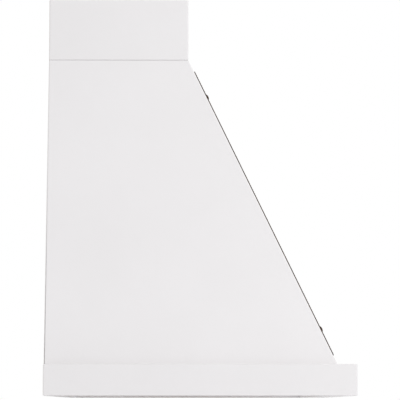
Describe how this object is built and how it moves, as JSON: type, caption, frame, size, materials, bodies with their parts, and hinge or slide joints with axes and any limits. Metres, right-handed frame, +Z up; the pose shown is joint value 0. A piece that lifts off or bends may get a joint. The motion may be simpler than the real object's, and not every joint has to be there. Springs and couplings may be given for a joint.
{
  "type": "wooden range hood cover",
  "caption": "Painted wooden cover for a wall-mounted range hood: tapered body with a sloped front, block band round the foot, upright chimney and dark metal straps down the front.",
  "frame": {"origin": "centre of the foot, on the underside of the block band", "axes": "+Z up, -Y the sloped front that faces the room, +Y the wall side, +X along the width to the right-hand side as seen facing the wall"},
  "size_m": [0.914, 0.581, 0.762],
  "materials": {
    "painted_boards": "white satin paint",
    "frame_timber": "planed, unfinished",
    "shelf_plywood": "sanded, unfinished",
    "dark_bronze": "satin",
    "screw_steel": "zinc plated"
  },
  "bodies": {
    "root": {"left_side_panel": "painted_boards", "right_side_panel": "painted_boards", "front_panel": "painted_boards", "chimney_front": "painted_boards", "left_chimney_side": "painted_boards", "right_chimney_side": "painted_boards", "band_front": "painted_boards", "left_band_side": "painted_boards", "right_band_side": "painted_boards", "base_front_rail": "frame_timber", "left_base_rail": "frame_timber", "right_base_rail": "frame_timber", "base_back_rail": "frame_timber", "front_ledger": "frame_timber", "back_ledger": "frame_timber", "left_ledger": "frame_timber", "right_ledger": "frame_timber", "lower_mounting_rail": "frame_timber", "hanging_rail": "frame_timber", "left_back_stile": "frame_timber", "right_back_stile": "frame_timber", "left_hip_batten": "frame_timber", "right_hip_batten": "frame_timber", "deck_front_rail": "frame_timber", "left_deck_rail": "frame_timber", "right_deck_rail": "frame_timber", "chimney_front_cleat": "frame_timber", "left_chimney_cleat": "frame_timber", "right_chimney_cleat": "frame_timber", "left_chimney_corner_block": "frame_timber", "right_chimney_corner_block": "frame_timber", "chimney_back_rail": "frame_timber", "insert_shelf": "shelf_plywood", "left_strap": "dark_bronze", "right_strap": "dark_bronze", "strap_buttons": "dark_bronze", "shelf_screws": "screw_steel", "chimney_screws": "screw_steel"}
  },
  "joints": []
}
